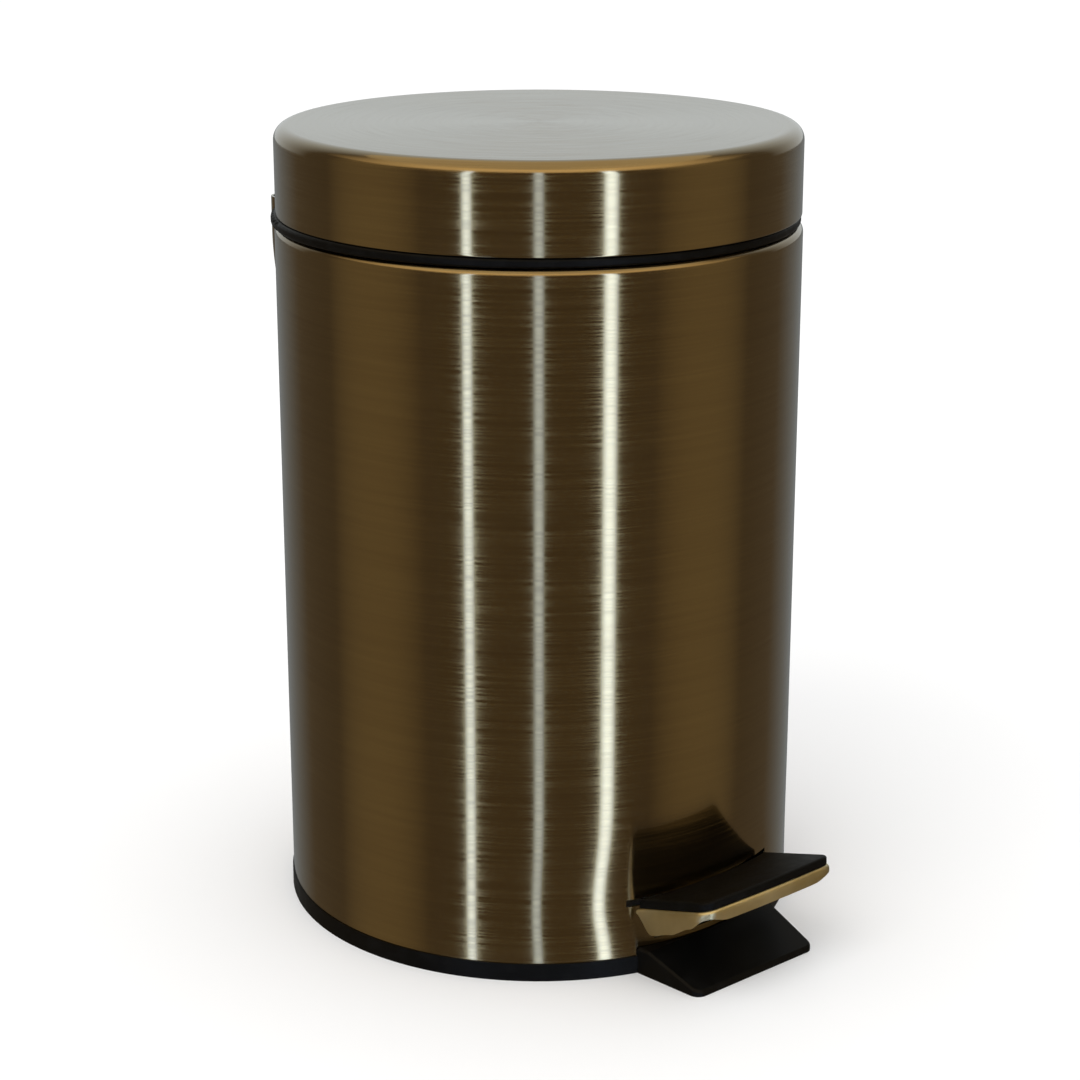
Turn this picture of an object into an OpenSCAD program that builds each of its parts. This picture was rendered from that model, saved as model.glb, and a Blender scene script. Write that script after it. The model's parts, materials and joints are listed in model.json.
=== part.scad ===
// Small round pedal bin with a hinged lid, a foot lever, a push rod and a lift-out bucket.
// Millimetres. Origin on the can's axis at the floor, +Z up, pedal towards -Y, lid hinge towards +Y.

/* [Body] */
// Outside radius of the steel body
body_r = 84; // [82:0.5:86]
// Height of the rounded top edge of the body
body_top = 226; // [222:1:226]
// Radius of the rounded shoulder at the top edge
shoulder_r = 2.5; // [2:0.1:3]
// Thickness of the steel sheet of body and lid
sheet = 0.6; // [0.5:0.05:0.7]

/* [Lid] */
// Outside radius of the lid
lid_r = 83.6; // [83:0.1:83.8]
// Height of the lid's lower edge
lid_bottom = 229.3; // [229.3:0.1:230]
// Height of the lid's flat top above the floor
total_h = 257; // [255:1:260]
// Radius of the lid's rounded top edge
lid_fillet = 4.5; // [3:0.5:6]
// Angle that the lid opens to
lid_open = 70; // [60:1:72]

/* [Base] */
// Height of the visible part of the base moulding
base_h = 5.8; // [5.5:0.1:6.5]
// Outside radius of the base moulding
base_r = 84.4; // [84.2:0.1:85]
// Distance from the axis to the front edge of the foot
foot_front = 105; // [100:1:110]
// Half width of the foot at its front edge
foot_half_w = 26.3; // [24:0.1:27]
// Height of the foot where it meets the body
foot_root_h = 8.6; // [7.5:0.1:9]
// Height of the foot at its front edge
foot_tip_h = 1.8; // [1.5:0.1:2.5]

/* [Pedal] */
// Half width of the pedal tread
tread_half_w = 29; // [27:0.5:29.5]
// Distance from the axis to the front edge of the tread
tread_front = 111.5; // [109:0.5:113]
// Upward tilt of the tread
tread_tilt = 17; // [15:0.5:18]
// Height of the tread's upper face at the body's wall
tread_z = 23.7; // [23:0.1:24.5]
// Thickness of the rubber pad on the tread
pad_t = 2.9; // [2:0.1:3.5]

/* [Linkage] */
// Distance of the lever pin in front of the axis
lever_pivot_s = 40; // [38:1:44]
// Height of the lever pin
lever_pivot_z = 16; // [15:0.5:17]
// Distance of the push rod behind the axis
rod_y = 78.5; // [78:0.1:79]
// Radius of the push rod's wire
rod_wire_r = 1.4; // [1.2:0.1:1.4]
// Height of the push rod's lower hook
rod_foot_z = 10; // [9.5:0.5:11]
// Length of the lid's crank from the hinge pin to the rod's upper hook
crank_r = 12.2; // [12:0.1:12.4]
// Height of the hinge pin
hinge_z = 227; // [226.5:0.1:227.2]

/* [Bucket] */
// Height of the bucket's bottom above the floor
bucket_z = 42; // [41:0.5:44]
// Height of the bucket's rim above the floor
bucket_top = 207; // [200:1:208]
// Outside radius of the bucket's wall just under the rim
bucket_r = 73.2; // [70:0.1:73.2]
// Outside radius of the bucket at its bottom
bucket_foot_r = 66; // [64:0.1:66]
// Radius of the bail's hoop
bail_r = 70.5; // [70:0.1:70.6]

/* [Hidden] */
$fn = 96;
far = 300;

// Fits and gaps
fit = 0.02;
pin_play = 0.05;
hook_play = 0.4;

// Metal and plastic colours
brass = [0.42, 0.31, 0.16];
champagne = [0.72, 0.61, 0.4];
black = [0.06, 0.06, 0.06];
steel = [0.62, 0.63, 0.65];
dark_grey = [0.2, 0.2, 0.21];

// Pedal window, the narrow ends of its slot, and the notch for the lid's crank
window_half_w = 22;
window_z0 = 10.5;
window_z1 = 24;
slot_half_w = 30;
slot_z0 = 22.6;
slot_z1 = 25;
notch_x0 = -1;
notch_x1 = 9;
notch_z0 = 213;

// Rivets
rivet_r = 1.5;
rivet_head_r = 2.8;
rivet_head_h = 1.1;
rivet_top_r = 1.7;

// Collar
bead_r = 84.3;
bead_shift = 1.4;
bead_z0 = body_top + 0.05;
bead_z1 = lid_bottom - 0.1;
bead_round = 1.2;
mouth_r = 77.5;
plug_r0 = 79.6;
plug_r1 = body_r - shoulder_r - 0.2;
plug_z0 = 214;
block_half_w = 30;
block_y1 = 96.5;
block_round = 5;

// Hinge
half_swing = lid_open / 2;
hinge_y = rod_y + crank_r * cos(half_swing);
hinge_pin_r = 1.5;
pin_head_r = 2.5;
boss_r = 3.6;
boss_x0 = 12;
boss_x1 = 24;
barrel_r = 3.3;
barrel_x = 11;
barrel_gap = 0.6;
crank_x0 = 3;
crank_x1 = 5;
crank_half_w = 4.2;
tab_half_w = 24;
tab_t = 1;
tab_z0 = 231.5;
tab_z1 = 243;
lid_rivet_angle = 12;
lid_rivet_z = 237.5;

// Push rod
hook_top_z = hinge_z - crank_r * sin(half_swing);
hook_top_x = 8;
hook_foot_x = 10;
clip_r = 2.8;
clip_t = 1;

// Lever
lever_x0 = 4.5;
lever_x1 = 6;
lever_top = 20;
lever_low = 11;
lever_t = 1.5;
strip_half_w = 10;
lever_pin_r = 2;
lever_eye_r = 3.6;
lever_head_r = 3.2;

// Tread
tread_t = 1;
tread_gap = 0.8;
flange_deep = 8.8;
lip_deep = 4.6;
tread_corner_r = 5;
pad_gap = 1;
tread_rivet_s = [90, 98];

// Base
foot_chamfer = 0.7;
upstand_r0 = 81;
upstand_r1 = body_r - sheet - 0.1;
upstand_top = 12;
ledge_r = 74;
plate_z = 3.5;
plate_t = 1;
plate_r = upstand_r0 - 0.2;
screw_circle_r = 77.5;
screw_angles = [30, 150, 270];
screw_r = 1.45;
rib_t = 3;
rib_angles = [0, 52, 128, 180, 232, 308];

// Bracket, and the guide for the push rod
ear_x0 = 6.6;
ear_t = 1.5;
ear_half_y = 7;
bracket_foot_x = 20;
rivet_x = 14;
guide_z = 120;
guide_half_w = 10;
guide_t = 1.2;

// Rear cover
cover_half_w = 38;
cover_y1 = 99;
cover_z0 = 184;
cover_z1 = 225.5;
cover_t = 0.8;
cover_flange_w = 9;
cover_flange_z0 = 188;
cover_flange_z1 = 224;
cover_rivet_angle = asin(42.5 / body_r);
cover_rivet_zs = [196, 216];

// Bucket and bail
bucket_wall = 1.4;
rim_r = 76.5;
rim_t = 2;
ear_r = 5;
bail_z = bucket_top + 5;
bail_wire_r = 1.5;
grip_r = 4;
grip_half_angle = 17;

function arc(c, r, a0, a1, n = 8) =
    [for (i = [0 : n]) c + r * [cos(a0 + (a1 - a0) * i / n), sin(a0 + (a1 - a0) * i / n)]];

// Height of the tread's upper face at a distance s in front of the axis
function tread_top(s) = tread_z + (s - body_r) * tan(tread_tilt);

// Block between two corners
module slab(a, b) {
    translate(a)
        cube(b - a);
}

// Straight cylinder along X at y, z
module x_bar(r, x0, x1, y, z) {
    translate([x0, y, z])
        rotate([0, 90, 0])
            cylinder(h = x1 - x0, r = r);
}

// Plate standing in the YZ plane: the outline's first coordinate is y, its second is z
module yz_plate(x0, x1) {
    translate([x0, 0, 0])
        rotate([90, 0, 90])
            linear_extrude(x1 - x0)
                children();
}

// Tube about the can's axis
module tube(r0, r1, z0, z1) {
    difference() {
        translate([0, 0, z0])
            cylinder(h = z1 - z0, r = r1);
        translate([0, 0, z0 - 1])
            cylinder(h = z1 - z0 + 2, r = r0);
    }
}

// Half outline of a can with a rounded top edge
module can_outline(r, z0, z1, f) {
    translate([0, z0])
        square([r, z1 - f - z0]);
    translate([0, z0])
        square([r - f, z1 - z0]);
    translate([r - f, z1 - f])
        circle(f);
}

// Rectangle with rounded corners, from corner a to corner b
module rounded_rect(a, b, r) {
    translate([a[0] + r, a[1]])
        square([b[0] - a[0] - 2 * r, b[1] - a[1]]);
    translate([a[0], a[1] + r])
        square([b[0] - a[0], b[1] - a[1] - 2 * r]);
    for (x = [a[0] + r, b[0] - r])
        for (y = [a[1] + r, b[1] - r])
            translate([x, y])
                circle(r);
}

// Rivet along a radius of the can: angle from the rear, height, and the two faces it clamps
module radial_rivet(angle, z, r0, r1) {
    rotate([0, 0, 90 - angle])
        translate([0, 0, z])
            rotate([0, 90, 0]) {
                translate([0, 0, r0 - 0.8])
                    cylinder(h = r1 - r0 + 1.6, r = rivet_r);
                translate([0, 0, r1])
                    cylinder(h = rivet_head_h, r1 = rivet_head_r, r2 = rivet_top_r);
                translate([0, 0, r0 - 0.9])
                    cylinder(h = 0.9, r1 = 2, r2 = 2.6);
            }
}

// Hole for a radial rivet
module radial_hole(angle, z) {
    rotate([0, 0, 90 - angle])
        translate([body_r - 8, 0, z])
            rotate([0, 90, 0])
                cylinder(h = 16, r = rivet_r + fit);
}

module outer_shell() {
    slot_r = (slot_z1 - slot_z0) / 2;
    color(brass)
        difference() {
            rotate_extrude($fn = 128)
                difference() {
                    can_outline(body_r, base_h, body_top, shoulder_r);
                    can_outline(body_r - sheet, base_h - 1, body_top - sheet, shoulder_r - sheet);
                    square([body_r - shoulder_r, far]);
                }
            // T-shaped pedal window
            slab([-window_half_w, -90, window_z0], [window_half_w, -76, window_z1]);
            slab([-slot_half_w, -90, slot_z0], [slot_half_w, -70, slot_z1]);
            for (x = [-slot_half_w, slot_half_w])
                translate([x, -70, slot_z0 + slot_r])
                    rotate([90, 0, 0])
                        cylinder(h = 20, r = slot_r);
            // Notch that the lid's crank passes through
            slab([notch_x0, 76, notch_z0], [notch_x1, 90, body_top + 1]);
            for (side = [-1, 1])
                for (z = cover_rivet_zs)
                    radial_hole(side * cover_rivet_angle, z);
        }
}

module top_collar() {
    color(black)
        difference() {
            union() {
                translate([0, bead_shift, 0])
                    rotate_extrude($fn = 128)
                        rounded_rect([70, bead_z0], [bead_r, bead_z1], bead_round);
                tube(plug_r0, plug_r1, plug_z0, bead_z0 + 1);
                translate([0, 0, bead_z0])
                    linear_extrude(bead_z1 - bead_z0)
                        rounded_rect([-block_half_w, 70], [block_half_w, block_y1], block_round);
                for (x = [-boss_x1, boss_x0])
                    x_bar(boss_r, x, x + boss_x1 - boss_x0, hinge_y, hinge_z);
            }
            translate([0, 0, plug_z0 - 1])
                cylinder(h = 40, r = mouth_r);
            slab([-barrel_x - barrel_gap, 60, plug_z0 - 1],
                 [barrel_x + barrel_gap, hinge_y + 4.6, bead_z1 + 10]);
            x_bar(hinge_pin_r + fit, -40, 40, hinge_y, hinge_z);
            // Channels that the pin's heads lie in
            for (x = [-40, boss_x1])
                x_bar(pin_head_r + 0.3, x, x + 40 - boss_x1, hinge_y, hinge_z);
        }
}

// Outline of the foot seen from above
module foot_plan() {
    r = 3.5;
    slant = 4;
    root_half_w = 28;
    polygon(concat([[-root_half_w, -70], [-root_half_w, -80]],
                   arc([-foot_half_w + r, -foot_front + r], r, 180 + slant, 270),
                   arc([foot_half_w - r, -foot_front + r], r, 270, 360 - slant),
                   [[root_half_w, -80], [root_half_w, -70]]));
}

// Wedge of the foot, drawn in on all sides by inset and lowered by drop
module foot_wedge(inset, drop) {
    intersection() {
        linear_extrude(foot_root_h)
            offset(delta = -inset)
                foot_plan();
        yz_plate(-40, 40)
            polygon([[-70, 0], [-foot_front, 0], [-foot_front, foot_tip_h - drop],
                     [-body_r, foot_root_h - drop], [-70, foot_root_h - drop]]);
    }
}

module base_foot() {
    difference() {
        hull() {
            foot_wedge(0, foot_chamfer);
            foot_wedge(foot_chamfer, 0);
        }
        translate([0, 0, -1])
            cylinder(h = 20, r = body_r + 0.15);
    }
}

// One upright rib that the bucket stands on
module bucket_rib() {
    rotate([90, 0, 0])
        translate([0, 0, -rib_t / 2])
            linear_extrude(rib_t)
                polygon([[58, plate_z + plate_t + 0.1], [upstand_r0 + 0.5, plate_z + plate_t + 0.1],
                         [upstand_r0 + 0.5, upstand_top], [70.5, bucket_z + 4],
                         [bucket_foot_r + 0.6, bucket_z + 4], [bucket_foot_r + 0.6, bucket_z - fit],
                         [58, bucket_z - fit]]);
}

module base_moulding() {
    color(black)
        difference() {
            union() {
                tube(upstand_r0, base_r, 0, base_h - fit);
                tube(ledge_r, upstand_r0 + 1, 0, plate_z - fit);
                difference() {
                    tube(upstand_r0, upstand_r1, base_h - 1, upstand_top);
                    // Windows for the pedal lever at the front and at the rear
                    slab([-27, -90, base_h - fit], [27, -60, 20]);
                    slab([-9, 60, base_h - fit], [9, 90, 20]);
                }
                for (a = rib_angles)
                    rotate([0, 0, a])
                        bucket_rib();
                difference() {
                    base_foot();
                    translate([0, 0, -1])
                        cylinder(h = base_h + 1 - fit, r = base_r - 1);
                }
            }
            for (a = screw_angles)
                rotate([0, 0, a])
                    translate([screw_circle_r, 0, -1]) {
                        cylinder(h = 10, r = screw_r + 0.15);
                        cylinder(h = 2.9, r = 3.1);
                    }
        }
}

module base_plate() {
    color(steel)
        difference() {
            translate([0, 0, plate_z])
                cylinder(h = plate_t, r = plate_r);
            for (a = screw_angles)
                rotate([0, 0, a])
                    translate([screw_circle_r, 0, 0])
                        cylinder(h = 10, r = screw_r + fit);
            for (x = [-rivet_x, rivet_x])
                translate([x, -lever_pivot_s, 0])
                    cylinder(h = 10, r = rivet_r + fit);
        }
}

module base_screws() {
    color(steel)
        for (a = screw_angles)
            rotate([0, 0, a])
                translate([screw_circle_r, 0, 0])
                    difference() {
                        union() {
                            translate([0, 0, 0.5])
                                cylinder(h = 1.4 - fit, r = 2.9);
                            translate([0, 0, 1])
                                cylinder(h = plate_z + plate_t + 0.6, r = screw_r);
                        }
                        // Cross recess in the head
                        slab([-2, -0.4, 0], [2, 0.4, 1.2]);
                        slab([-0.4, -2, 0], [0.4, 2, 1.2]);
                    }
}

module lever_bracket() {
    z0 = plate_z + plate_t + fit;
    color(steel)
        difference() {
            union() {
                slab([-bracket_foot_x, -lever_pivot_s - ear_half_y, z0],
                     [bracket_foot_x, -lever_pivot_s + ear_half_y, z0 + ear_t]);
                for (x = [-ear_x0 - ear_t, ear_x0]) {
                    slab([x, -lever_pivot_s - ear_half_y, z0],
                         [x + ear_t, -lever_pivot_s + ear_half_y, lever_pivot_z]);
                    x_bar(ear_half_y, x, x + ear_t, -lever_pivot_s, lever_pivot_z);
                }
            }
            x_bar(lever_pin_r + fit, -40, 40, -lever_pivot_s, lever_pivot_z);
            for (x = [-rivet_x, rivet_x])
                translate([x, -lever_pivot_s, 0])
                    cylinder(h = 20, r = rivet_r + fit);
        }
}

module bracket_rivets() {
    z0 = plate_z - fit;
    z1 = plate_z + plate_t + ear_t + 2 * fit;
    color(steel)
        for (x = [-rivet_x, rivet_x])
            translate([x, -lever_pivot_s, 0]) {
                translate([0, 0, z0 - 0.5])
                    cylinder(h = z1 - z0 + 1, r = rivet_r);
                translate([0, 0, z1])
                    cylinder(h = rivet_head_h, r1 = rivet_head_r, r2 = rivet_top_r);
                translate([0, 0, z0 - 1])
                    cylinder(h = 1, r1 = rivet_top_r, r2 = rivet_head_r);
            }
}

module lever_pin() {
    end = ear_x0 + ear_t + 0.1;
    color(steel) {
        x_bar(lever_pin_r, -end - 0.5, end + 0.5, -lever_pivot_s, lever_pivot_z);
        x_bar(lever_head_r, end, end + 1.2, -lever_pivot_s, lever_pivot_z);
        x_bar(lever_head_r, -end - 1.2, -end, -lever_pivot_s, lever_pivot_z);
    }
}

module rod_guide() {
    r1 = body_r - sheet - fit;
    color(steel)
        difference() {
            union() {
                intersection() {
                    tube(r1 - guide_t, r1, guide_z - 14, guide_z + 2);
                    slab([-guide_half_w, 60, guide_z - 14], [guide_half_w, 90, guide_z + 2]);
                }
                intersection() {
                    slab([-5, rod_y - 3.4, guide_z], [5, 90, guide_z + 1.5]);
                    translate([0, 0, guide_z - 2])
                        cylinder(h = 6, r = r1 - 0.3);
                }
            }
            translate([0, rod_y, guide_z - 1])
                cylinder(h = 5, r = rod_wire_r + pin_play);
        }
}

// Outline of the rear cover seen from the side
module cover_side(inset) {
    polygon([[70, cover_z0 - 14], [body_r, cover_z0], [cover_y1 - 2 - inset, 198],
             [cover_y1 - inset, 216], [cover_y1 - inset, cover_z1 + inset],
             [70, cover_z1 + inset]]);
}

// Solid of the rear cover's outside, or of its inside when inset is the sheet's thickness
module cover_solid(inset) {
    intersection() {
        yz_plate(-cover_half_w + inset, cover_half_w - inset)
            cover_side(inset);
        translate([0, 0, cover_z0 - 20])
            linear_extrude(100)
                rounded_rect([-cover_half_w + inset, 50],
                             [cover_half_w - inset, cover_y1 - inset], 5 - inset);
    }
}

module rear_cover() {
    outside = cover_half_w + cover_flange_w;
    color(brass)
        difference() {
            union() {
                difference() {
                    cover_solid(0);
                    cover_solid(cover_t);
                }
                intersection() {
                    tube(body_r, body_r + cover_t, cover_flange_z0, cover_flange_z1);
                    difference() {
                        slab([-outside, 60, cover_flange_z0], [outside, 90, cover_flange_z1]);
                        slab([-cover_half_w + 0.4, 60, 180], [cover_half_w - 0.4, 90, 230]);
                    }
                }
            }
            translate([0, 0, cover_z0 - 30])
                cylinder(h = 90, r = body_r + fit);
            for (side = [-1, 1])
                for (z = cover_rivet_zs)
                    radial_hole(side * cover_rivet_angle, z);
        }
}

module cover_rivets() {
    color(brass)
        for (side = [-1, 1])
            for (z = cover_rivet_zs)
                radial_rivet(side * cover_rivet_angle, z, body_r - sheet - fit,
                             body_r + cover_t + fit);
}

module hinge_pin() {
    end = boss_x1 + 0.1;
    color(steel) {
        x_bar(hinge_pin_r, -end - 0.5, end + 0.5, hinge_y, hinge_z);
        x_bar(pin_head_r, end, end + 1.1, hinge_y, hinge_z);
        x_bar(pin_head_r, -end - 1.1, -end, hinge_y, hinge_z);
    }
}

module lid_shell() {
    color(brass)
        difference() {
            rotate_extrude($fn = 128)
                difference() {
                    can_outline(lid_r, lid_bottom, total_h, lid_fillet);
                    can_outline(lid_r - sheet, lid_bottom - 1, total_h - sheet, lid_fillet - sheet);
                }
            for (side = [-1, 1])
                radial_hole(side * lid_rivet_angle, lid_rivet_z);
        }
}

// Crank that lifts the lid, with a slot for the push rod's hook
module crank_outline() {
    slot_half_w = rod_wire_r + hook_play;
    slot_a = crank_r * cos(half_swing) - 0.15;
    slot_b = crank_r + 0.15;
    translate([hinge_y, hinge_z])
        rotate(180 + half_swing)
            difference() {
                union() {
                    translate([0, -crank_half_w])
                        square([crank_r, 2 * crank_half_w]);
                    translate([crank_r, 0])
                        circle(crank_half_w);
                }
                translate([slot_a, -slot_half_w])
                    square([slot_b - slot_a, 2 * slot_half_w]);
                translate([slot_a, 0])
                    circle(slot_half_w);
                translate([slot_b, 0])
                    circle(slot_half_w);
            }
}

module lid_hinge_plate() {
    tab_r = lid_r + fit;
    color(brass)
        difference() {
            union() {
                intersection() {
                    tube(tab_r, tab_r + tab_t, tab_z0, tab_z1);
                    translate([0, 90, 0])
                        rotate([90, 0, 0])
                            linear_extrude(30)
                                rounded_rect([-tab_half_w, tab_z0], [tab_half_w, tab_z1], 3);
                }
                yz_plate(-barrel_x, barrel_x)
                    polygon([[lid_r - 1, tab_z0], [lid_r - 1, tab_z0 + 1.8],
                             [lid_r + 2, tab_z0 + 1.8], [hinge_y + 2.4, hinge_z + 2.3],
                             [hinge_y - 2, hinge_z + 1.5]]);
                x_bar(barrel_r, -barrel_x, barrel_x, hinge_y, hinge_z);
                yz_plate(crank_x0, crank_x1)
                    crank_outline();
            }
            translate([0, 0, lid_bottom - 1])
                cylinder(h = 20, r = tab_r);
            x_bar(hinge_pin_r + pin_play, -40, 40, hinge_y, hinge_z);
            for (side = [-1, 1])
                radial_hole(side * lid_rivet_angle, lid_rivet_z);
        }
}

module lid_rivets() {
    color(brass)
        for (side = [-1, 1])
            radial_rivet(side * lid_rivet_angle, lid_rivet_z, lid_r - sheet - fit,
                         lid_r + tab_t + 2 * fit);
}

// Outline of tread or pad seen from above, inset from the tread's edge
module tread_plan(inset) {
    w = tread_half_w - inset;
    f = tread_front - inset;
    r = tread_corner_r - inset;
    polygon(concat([[-w, -70]],
                   arc([-w + r, -f + r], r, 180, 270),
                   arc([w - r, -f + r], r, 270, 360),
                   [[w, -70]]));
}

// Everything between two surfaces parallel to the tread's upper face
module tread_layer(below, above) {
    yz_plate(-40, 40)
        polygon([[-70, tread_top(70) - below], [-120, tread_top(120) - below],
                 [-120, tread_top(120) + above], [-70, tread_top(70) + above]]);
}

module pedal_tread() {
    color(champagne)
        difference() {
            intersection() {
                linear_extrude(60)
                    tread_plan(0);
                yz_plate(-40, 40)
                    polygon([[-70, tread_top(70)], [-70, tread_top(70) - tread_t - 0.2],
                             [-79, tread_top(79) - tread_t - 0.2],
                             [-87, tread_top(87) - flange_deep],
                             [-95, tread_top(95) - flange_deep + 0.8],
                             [-103.5, tread_top(103.5) - flange_deep + 3.2],
                             [-108, tread_top(108) - 3.2],
                             [-109.5, tread_top(109.5) - lip_deep],
                             [-120, tread_top(120) - lip_deep], [-120, tread_top(120)]]);
            }
            intersection() {
                linear_extrude(60)
                    tread_plan(tread_t);
                tread_layer(40, -tread_t);
            }
            cylinder(h = 60, r = body_r + tread_gap);
            for (s = tread_rivet_s)
                translate([0, -s, 10])
                    cylinder(h = 30, r = rivet_r + fit);
        }
}

module pedal_pad() {
    color(black)
        difference() {
            intersection() {
                linear_extrude(60)
                    tread_plan(1);
                tread_layer(-fit, pad_t);
            }
            cylinder(h = 60, r = body_r + pad_gap);
        }
}

// Side wall of the lever arm
module lever_wall() {
    difference() {
        union() {
            polygon([[-66, lever_top - 0.5], [-66, lever_top - 2], [-58, lever_low],
                     [60, lever_low], [rod_y, rod_foot_z - lever_eye_r],
                     [rod_y, rod_foot_z + lever_eye_r], [66, lever_top - 0.5]]);
            translate([rod_y, rod_foot_z])
                circle(lever_eye_r);
        }
        translate([-lever_pivot_s, lever_pivot_z])
            circle(lever_pin_r + pin_play);
        translate([rod_y, rod_foot_z])
            circle(rod_wire_r + hook_play);
    }
}

module lever_arm() {
    under = tread_t / cos(tread_tilt) + fit;
    color(steel)
        difference() {
            union() {
                for (x = [-lever_x1, lever_x0])
                    yz_plate(x, x + lever_x1 - lever_x0)
                        lever_wall();
                yz_plate(-lever_x1, lever_x1)
                    polygon([[66, lever_top - lever_t], [66, lever_top], [-66, lever_top],
                             [-66, lever_top - lever_t]]);
                yz_plate(-strip_half_w, strip_half_w)
                    polygon([[-64, lever_top - lever_t], [-64, lever_top], [-76, lever_top],
                             [-86, tread_top(86) - under], [-102, tread_top(102) - under],
                             [-102, tread_top(102) - under - lever_t],
                             [-87, tread_top(87) - under - lever_t],
                             [-76.4, lever_top - lever_t]]);
            }
            for (s = tread_rivet_s)
                translate([0, -s, 10])
                    cylinder(h = 30, r = rivet_r + fit);
        }
}

module tread_rivets() {
    color(champagne)
        for (s = tread_rivet_s)
            translate([0, -s, tread_top(s)]) {
                intersection() {
                    translate([0, 0, -4])
                        cylinder(h = 5, r = rivet_r);
                    translate([0, s, -tread_top(s)])
                        tread_layer(4, -0.1);
                }
                intersection() {
                    translate([0, 0, -6])
                        cylinder(h = 5, r = rivet_head_r);
                    translate([0, s, -tread_top(s)])
                        tread_layer(4, -tread_t / cos(tread_tilt) - lever_t - 0.1);
                }
            }
}

module push_rod() {
    color(steel) {
        translate([0, rod_y, rod_foot_z])
            cylinder(h = hook_top_z - rod_foot_z, r = rod_wire_r);
        x_bar(rod_wire_r, 0, hook_top_x, rod_y, hook_top_z);
        x_bar(rod_wire_r, 0, hook_foot_x, rod_y, rod_foot_z);
        for (z = [rod_foot_z, hook_top_z])
            translate([0, rod_y, z])
                sphere(rod_wire_r);
    }
}

module rod_clips() {
    color(dark_grey)
        for (clip = [[crank_x1 + 0.5, hook_top_z], [lever_x1 + 0.5, rod_foot_z]])
            difference() {
                x_bar(clip_r, clip[0], clip[0] + clip_t, rod_y, clip[1]);
                x_bar(rod_wire_r + fit, clip[0] - 1, clip[0] + clip_t + 1, rod_y, clip[1]);
            }
}

module bucket() {
    color(black)
        difference() {
            union() {
                translate([0, 0, bucket_z])
                    cylinder(h = bucket_top - bucket_z, r1 = bucket_foot_r, r2 = bucket_r);
                translate([0, 0, bucket_top - rim_t])
                    cylinder(h = rim_t, r = rim_r);
                for (x = [-rim_r + 0.4, rim_r - 3.4]) {
                    x_bar(ear_r, x, x + 3, 0, bail_z);
                    slab([x, -ear_r, bucket_top - 1], [x + 3, ear_r, bail_z]);
                }
            }
            translate([0, 0, bucket_z + 1.6])
                cylinder(h = bucket_top - bucket_z, r1 = bucket_foot_r - bucket_wall,
                         r2 = bucket_r - bucket_wall + 0.07);
            // Flat in the rim that clears the lid's crank
            slab([-12, bucket_r + 0.2, bucket_top - 10], [12, 90, bucket_top + 5]);
            x_bar(bail_wire_r + pin_play, -90, 90, 0, bail_z);
        }
}

module bail_handle() {
    color(steel) {
        translate([0, 0, bail_z])
            rotate([0, 0, 180])
                rotate_extrude(angle = 180)
                    translate([bail_r, 0])
                        circle(bail_wire_r, $fn = 32);
        for (side = [-1, 1]) {
            x_bar(bail_wire_r, min(side * bail_r, side * (rim_r + 1)),
                  max(side * bail_r, side * (rim_r + 1)), 0, bail_z);
            translate([side * bail_r, 0, bail_z])
                sphere(bail_wire_r + 0.3);
        }
    }
}

module bail_grip() {
    color(black)
        translate([0, 0, bail_z])
            rotate([0, 0, 270 - grip_half_angle])
                rotate_extrude(angle = 2 * grip_half_angle)
                    translate([bail_r, 0])
                        difference() {
                            circle(grip_r, $fn = 40);
                            circle(bail_wire_r + fit, $fn = 32);
                        }
}

outer_shell();
top_collar();
base_moulding();
base_plate();
base_screws();
lever_bracket();
bracket_rivets();
lever_pin();
rod_guide();
rear_cover();
cover_rivets();
hinge_pin();
lid_shell();
lid_hinge_plate();
lid_rivets();
pedal_tread();
pedal_pad();
lever_arm();
tread_rivets();
push_rod();
rod_clips();
bucket();
bail_handle();
bail_grip();
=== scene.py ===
import json
import math

import bmesh
import bpy
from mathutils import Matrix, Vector


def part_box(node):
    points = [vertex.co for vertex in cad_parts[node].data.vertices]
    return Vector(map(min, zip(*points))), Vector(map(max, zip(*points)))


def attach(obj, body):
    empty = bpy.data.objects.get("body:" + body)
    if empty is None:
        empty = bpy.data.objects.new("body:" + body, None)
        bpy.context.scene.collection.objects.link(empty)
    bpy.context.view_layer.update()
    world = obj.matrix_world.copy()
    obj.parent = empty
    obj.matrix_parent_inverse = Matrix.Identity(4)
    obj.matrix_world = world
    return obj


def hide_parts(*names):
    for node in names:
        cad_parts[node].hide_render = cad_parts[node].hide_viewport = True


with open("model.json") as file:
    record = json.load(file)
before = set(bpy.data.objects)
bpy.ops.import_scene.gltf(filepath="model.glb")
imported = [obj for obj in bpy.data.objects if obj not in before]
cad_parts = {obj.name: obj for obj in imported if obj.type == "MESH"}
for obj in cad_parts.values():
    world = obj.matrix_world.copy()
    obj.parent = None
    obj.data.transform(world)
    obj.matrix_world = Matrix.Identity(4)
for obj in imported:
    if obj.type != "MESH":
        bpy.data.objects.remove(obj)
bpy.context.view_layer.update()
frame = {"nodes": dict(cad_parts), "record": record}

MM = 0.001

# Lowest and highest corner of the CAD nodes that pieces are made for, in metres.
SHELL_LOW, SHELL_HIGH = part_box("outer_shell")
LID_LOW, LID_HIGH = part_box("lid_shell")
TREAD_LOW, TREAD_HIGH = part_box("pedal_tread")
COVER_LOW, COVER_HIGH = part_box("rear_cover")

BODY_R = SHELL_HIGH.x
# Thickness of the steel sheet of the body and the lid
SHEET = 0.6 * MM


# ---------------------------------------------------------------- camera

# The camera stands in front and to the pedal's left, and looks down on the can.
CAMERA_AZIMUTH = math.radians(41.0)
CAMERA_PITCH = math.radians(17.211)
CAMERA_DISTANCE = 805.2 * MM
CAMERA_HEIGHT = 368.2 * MM
CAMERA_LENS = 84.77
SENSOR_WIDTH = 36
CLIP_START = 0.05
# How far the aim passes beside the can's axis, as an angle
AIM_OFFSET = math.radians(0.027)


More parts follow.
